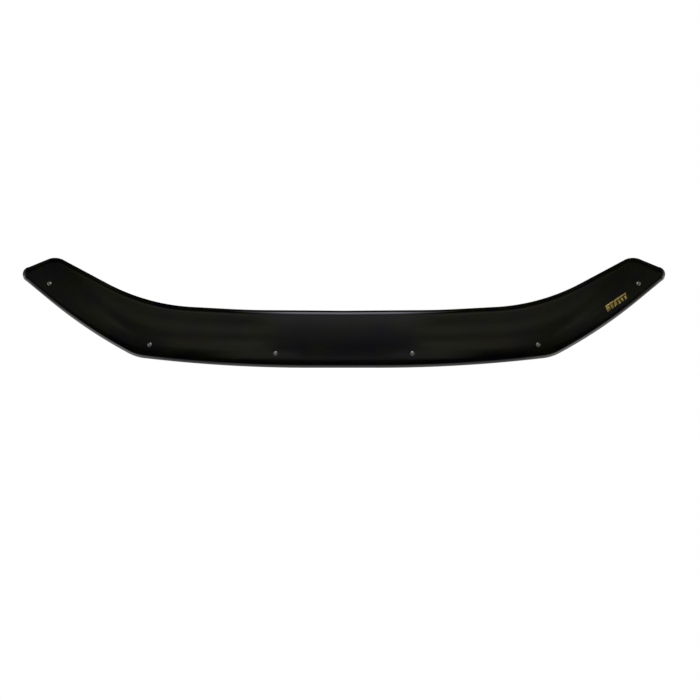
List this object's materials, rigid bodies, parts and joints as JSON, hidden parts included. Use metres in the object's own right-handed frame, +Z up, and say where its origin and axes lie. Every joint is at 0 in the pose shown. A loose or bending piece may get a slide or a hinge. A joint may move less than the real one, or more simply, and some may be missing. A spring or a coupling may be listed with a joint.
{
  "type": "hood bug deflector",
  "caption": "Long black gloss acrylic hood bug deflector with swept-up wings and a turned-back lip, on steel clips that grip the hood's front lip.",
  "frame": {"origin": "the middle of the hood's front lip, on the car's centre line, level with the middle of the two inner clips' mouths", "axes": "+X to the right as seen from the front, +Y backward over the hood, +Z up; the sheet faces -Y"},
  "size_m": [1.405, 0.1365, 0.2409],
  "materials": {
    "black_acrylic": "gloss",
    "zinc_steel": "satin",
    "black_steel": "satin",
    "black_rubber": "matte",
    "gold_foil": "satin"
  },
  "bodies": {
    "root": {"shield": "black_acrylic", "foil_label": "gold_foil", "screw_1": "zinc_steel", "spacer_1": "black_rubber", "hood_clip_1": "black_steel", "lock_nut_1": "zinc_steel", "clip_pad_1": "black_rubber", "clamp_screw_1": "zinc_steel", "screw_2": "zinc_steel", "spacer_2": "black_rubber", "hood_clip_2": "black_steel", "lock_nut_2": "zinc_steel", "clip_pad_2": "black_rubber", "clamp_screw_2": "zinc_steel", "screw_3": "zinc_steel", "spacer_3": "black_rubber", "hood_clip_3": "black_steel", "lock_nut_3": "zinc_steel", "clip_pad_3": "black_rubber", "clamp_screw_3": "zinc_steel", "screw_4": "zinc_steel", "spacer_4": "black_rubber", "hood_clip_4": "black_steel", "lock_nut_4": "zinc_steel", "clip_pad_4": "black_rubber", "clamp_screw_4": "zinc_steel", "screw_5": "zinc_steel", "spacer_5": "black_rubber", "hood_clip_5": "black_steel", "lock_nut_5": "zinc_steel", "clip_pad_5": "black_rubber", "clamp_screw_5": "zinc_steel", "screw_6": "zinc_steel", "spacer_6": "black_rubber", "hood_clip_6": "black_steel", "lock_nut_6": "zinc_steel", "clip_pad_6": "black_rubber", "clamp_screw_6": "zinc_steel"}
  },
  "joints": []
}
